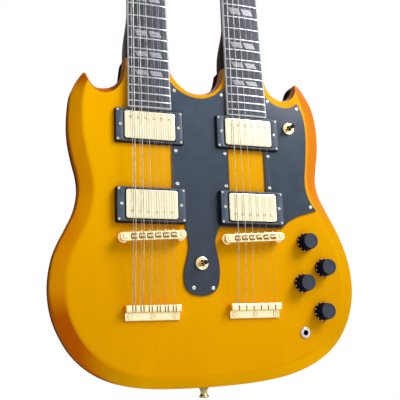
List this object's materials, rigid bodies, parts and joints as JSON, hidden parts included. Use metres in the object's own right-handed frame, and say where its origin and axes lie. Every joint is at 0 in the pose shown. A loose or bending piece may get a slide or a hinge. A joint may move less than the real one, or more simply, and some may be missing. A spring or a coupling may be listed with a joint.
{
  "type": "double-neck electric guitar",
  "caption": "Solid-body electric guitar with a twelve-string neck and a six-string neck on one body.",
  "frame": {"origin": "on the flat back of the body, on the centre line between the necks and level with the bridges", "axes": "+X towards the six-string side, +Y out of the back, +Z along the necks towards the headstocks"},
  "size_m": [0.4139, 0.115, 1.0454],
  "materials": {
    "amber_lacquer": "gloss lacquer on wood",
    "dark_lacquered_wood": "dark gloss lacquer",
    "fingerboard_wood": "oiled",
    "ivory_plastic": "satin",
    "black_plastic": "polished",
    "gold_plate": "polished gold plate",
    "chrome_plate": "polished",
    "string_wire": "plain and wound wire"
  },
  "bodies": {
    "guitar": {"body": "amber_lacquer", "neck_12": "dark_lacquered_wood", "fingerboard_12": "fingerboard_wood", "nut_12": "ivory_plastic", "bridge_12": "gold_plate", "bridge_post_12_low": "gold_plate", "bridge_post_12_high": "gold_plate", "tailpiece_12": "gold_plate", "strings_12": "string_wire", "tuner_plate_12_low": "gold_plate", "tuner_plate_12_high": "gold_plate", "pickup_ring_12_neck": "black_plastic", "pickup_12_neck": "gold_plate", "pickup_ring_12_bridge": "black_plastic", "pickup_12_bridge": "gold_plate", "neck_6": "dark_lacquered_wood", "fingerboard_6": "fingerboard_wood", "nut_6": "ivory_plastic", "bridge_6": "gold_plate", "bridge_post_6_low": "gold_plate", "bridge_post_6_high": "gold_plate", "tailpiece_6": "gold_plate", "strings_6": "string_wire", "tuner_plate_6_low": "gold_plate", "tuner_plate_6_high": "gold_plate", "pickup_ring_6_neck": "black_plastic", "pickup_6_neck": "gold_plate", "pickup_ring_6_bridge": "black_plastic", "pickup_6_bridge": "gold_plate", "pickguard": "black_plastic", "control_cover": "black_plastic", "pickup_switch": "gold_plate", "neck_switch": "gold_plate", "output_jack": "chrome_plate", "strap_button_bottom": "gold_plate", "strap_button_back": "gold_plate"},
    "knob_volume_12_body": {"knob_volume_12": "black_plastic"},
    "knob_volume_6_body": {"knob_volume_6": "black_plastic"},
    "knob_tone_12_body": {"knob_tone_12": "black_plastic"},
    "knob_tone_6_body": {"knob_tone_6": "black_plastic"},
    "pickup_switch_lever_body": {"pickup_switch_lever": "black_plastic"},
    "neck_switch_lever_body": {"neck_switch_lever": "black_plastic"},
    "tuner_button_12_01_body": {"tuner_button_12_01": "gold_plate"},
    "tuner_button_12_07_body": {"tuner_button_12_07": "gold_plate"},
    "tuner_button_12_02_body": {"tuner_button_12_02": "gold_plate"},
    "tuner_button_12_08_body": {"tuner_button_12_08": "gold_plate"},
    "tuner_button_12_03_body": {"tuner_button_12_03": "gold_plate"},
    "tuner_button_12_09_body": {"tuner_button_12_09": "gold_plate"},
    "tuner_button_12_04_body": {"tuner_button_12_04": "gold_plate"},
    "tuner_button_12_10_body": {"tuner_button_12_10": "gold_plate"},
    "tuner_button_12_05_body": {"tuner_button_12_05": "gold_plate"},
    "tuner_button_12_11_body": {"tuner_button_12_11": "gold_plate"},
    "tuner_button_12_06_body": {"tuner_button_12_06": "gold_plate"},
    "tuner_button_12_12_body": {"tuner_button_12_12": "gold_plate"},
    "tuner_button_6_01_body": {"tuner_button_6_01": "gold_plate"},
    "tuner_button_6_04_body": {"tuner_button_6_04": "gold_plate"},
    "tuner_button_6_02_body": {"tuner_button_6_02": "gold_plate"},
    "tuner_button_6_05_body": {"tuner_button_6_05": "gold_plate"},
    "tuner_button_6_03_body": {"tuner_button_6_03": "gold_plate"},
    "tuner_button_6_06_body": {"tuner_button_6_06": "gold_plate"}
  },
  "joints": [
    {"name": "knob_volume_12_turn", "type": "hinge", "parent": "guitar", "child": "knob_volume_12_body", "pos_m": [0.148, -0.036, -0.0015], "axis": [0, -1, 0], "range_deg": [-135, 135]},
    {"name": "knob_volume_6_turn", "type": "hinge", "parent": "guitar", "child": "knob_volume_6_body", "pos_m": [0.173, -0.036, -0.036], "axis": [0, -1, 0], "range_deg": [-135, 135]},
    {"name": "knob_tone_12_turn", "type": "hinge", "parent": "guitar", "child": "knob_tone_12_body", "pos_m": [0.1405, -0.036, -0.0565], "axis": [0, -1, 0], "range_deg": [-135, 135]},
    {"name": "knob_tone_6_turn", "type": "hinge", "parent": "guitar", "child": "knob_tone_6_body", "pos_m": [0.1675, -0.036, -0.094], "axis": [0, -1, 0], "range_deg": [-135, 135]},
    {"name": "pickup_switch_lever_tip", "type": "hinge", "parent": "guitar", "child": "pickup_switch_lever_body", "pos_m": [0.131, -0.036, 0.156], "axis": [1, 0, 0], "range_deg": [-12, 12]},
    {"name": "neck_switch_lever_tip", "type": "hinge", "parent": "guitar", "child": "neck_switch_lever_body", "pos_m": [-0.003, -0.036, -0.031], "axis": [1, 0, 0], "range_deg": [-12, 12]},
    {"name": "tuner_button_12_01_turn", "type": "hinge", "parent": "guitar", "child": "tuner_button_12_01_body", "pos_m": [-0.0995, 0.00668, 0.66645], "axis": [-1, 0, 0], "continuous": true},
    {"name": "tuner_button_12_07_turn", "type": "hinge", "parent": "guitar", "child": "tuner_button_12_07_body", "pos_m": [-0.0365, 0.00668, 0.66645], "axis": [1, 0, 0], "continuous": true},
    {"name": "tuner_button_12_02_turn", "type": "hinge", "parent": "guitar", "child": "tuner_button_12_02_body", "pos_m": [-0.0995, 0.01495, 0.69528], "axis": [-1, 0, 0], "continuous": true},
    {"name": "tuner_button_12_08_turn", "type": "hinge", "parent": "guitar", "child": "tuner_button_12_08_body", "pos_m": [-0.0365, 0.01495, 0.69528], "axis": [1, 0, 0], "continuous": true},
    {"name": "tuner_button_12_03_turn", "type": "hinge", "parent": "guitar", "child": "tuner_button_12_03_body", "pos_m": [-0.0995, 0.02322, 0.72412], "axis": [-1, 0, 0], "continuous": true},
    {"name": "tuner_button_12_09_turn", "type": "hinge", "parent": "guitar", "child": "tuner_button_12_09_body", "pos_m": [-0.0365, 0.02322, 0.72412], "axis": [1, 0, 0], "continuous": true},
    {"name": "tuner_button_12_04_turn", "type": "hinge", "parent": "guitar", "child": "tuner_button_12_04_body", "pos_m": [-0.0995, 0.03149, 0.75296], "axis": [-1, 0, 0], "continuous": true},
    {"name": "tuner_button_12_10_turn", "type": "hinge", "parent": "guitar", "child": "tuner_button_12_10_body", "pos_m": [-0.0365, 0.03149, 0.75296], "axis": [1, 0, 0], "continuous": true},
    {"name": "tuner_button_12_05_turn", "type": "hinge", "parent": "guitar", "child": "tuner_button_12_05_body", "pos_m": [-0.0995, 0.03976, 0.7818], "axis": [-1, 0, 0], "continuous": true},
    {"name": "tuner_button_12_11_turn", "type": "hinge", "parent": "guitar", "child": "tuner_button_12_11_body", "pos_m": [-0.0365, 0.03976, 0.7818], "axis": [1, 0, 0], "continuous": true},
    {"name": "tuner_button_12_06_turn", "type": "hinge", "parent": "guitar", "child": "tuner_button_12_06_body", "pos_m": [-0.0995, 0.04803, 0.81063], "axis": [-1, 0, 0], "continuous": true},
    {"name": "tuner_button_12_12_turn", "type": "hinge", "parent": "guitar", "child": "tuner_button_12_12_body", "pos_m": [-0.0365, 0.04803, 0.81063], "axis": [1, 0, 0], "continuous": true},
    {"name": "tuner_button_6_01_turn", "type": "hinge", "parent": "guitar", "child": "tuner_button_6_01_body", "pos_m": [0.0365, 0.00668, 0.66645], "axis": [-1, 0, 0], "continuous": true},
    {"name": "tuner_button_6_04_turn", "type": "hinge", "parent": "guitar", "child": "tuner_button_6_04_body", "pos_m": [0.0995, 0.00668, 0.66645], "axis": [1, 0, 0], "continuous": true},
    {"name": "tuner_button_6_02_turn", "type": "hinge", "parent": "guitar", "child": "tuner_button_6_02_body", "pos_m": [0.0365, 0.01826, 0.70682], "axis": [-1, 0, 0], "continuous": true},
    {"name": "tuner_button_6_05_turn", "type": "hinge", "parent": "guitar", "child": "tuner_button_6_05_body", "pos_m": [0.0995, 0.01826, 0.70682], "axis": [1, 0, 0], "continuous": true},
    {"name": "tuner_button_6_03_turn", "type": "hinge", "parent": "guitar", "child": "tuner_button_6_03_body", "pos_m": [0.0365, 0.02984, 0.74719], "axis": [-1, 0, 0], "continuous": true},
    {"name": "tuner_button_6_06_turn", "type": "hinge", "parent": "guitar", "child": "tuner_button_6_06_body", "pos_m": [0.0995, 0.02984, 0.74719], "axis": [1, 0, 0], "continuous": true}
  ]
}
